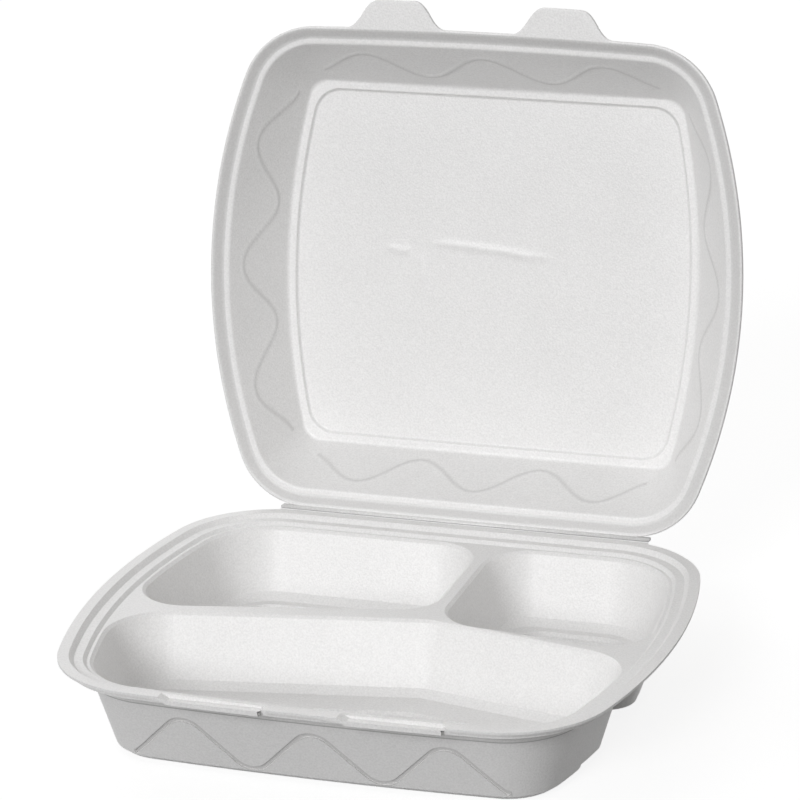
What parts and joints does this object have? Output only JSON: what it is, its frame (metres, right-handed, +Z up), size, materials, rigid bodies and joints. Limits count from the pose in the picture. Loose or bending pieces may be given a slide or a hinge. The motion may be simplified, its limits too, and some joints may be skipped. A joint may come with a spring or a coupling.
{
  "type": "hinged foam meal container",
  "caption": "Hinged foam takeaway meal container with a compartmented tray, a domed lid standing open and front locking tabs.",
  "frame": {"origin": "on the supporting surface, at the middle of the front compartment's floor", "axes": "+Z up, +Y towards the hinge, +X to the right for someone facing the open front"},
  "size_m": [0.248, 0.2795, 0.2609],
  "materials": {
    "foam": "satin white expanded polystyrene foam skin"
  },
  "bodies": {
    "tray": {"tray": "foam"},
    "lid": {"lid": "foam"}
  },
  "joints": [
    {"name": "lid_hinge", "type": "hinge", "parent": "tray", "child": "lid", "pos_m": [0, 0.16485, 0.0373], "axis": [1, 0, 0], "range_deg": [-80, 99.2]}
  ]
}
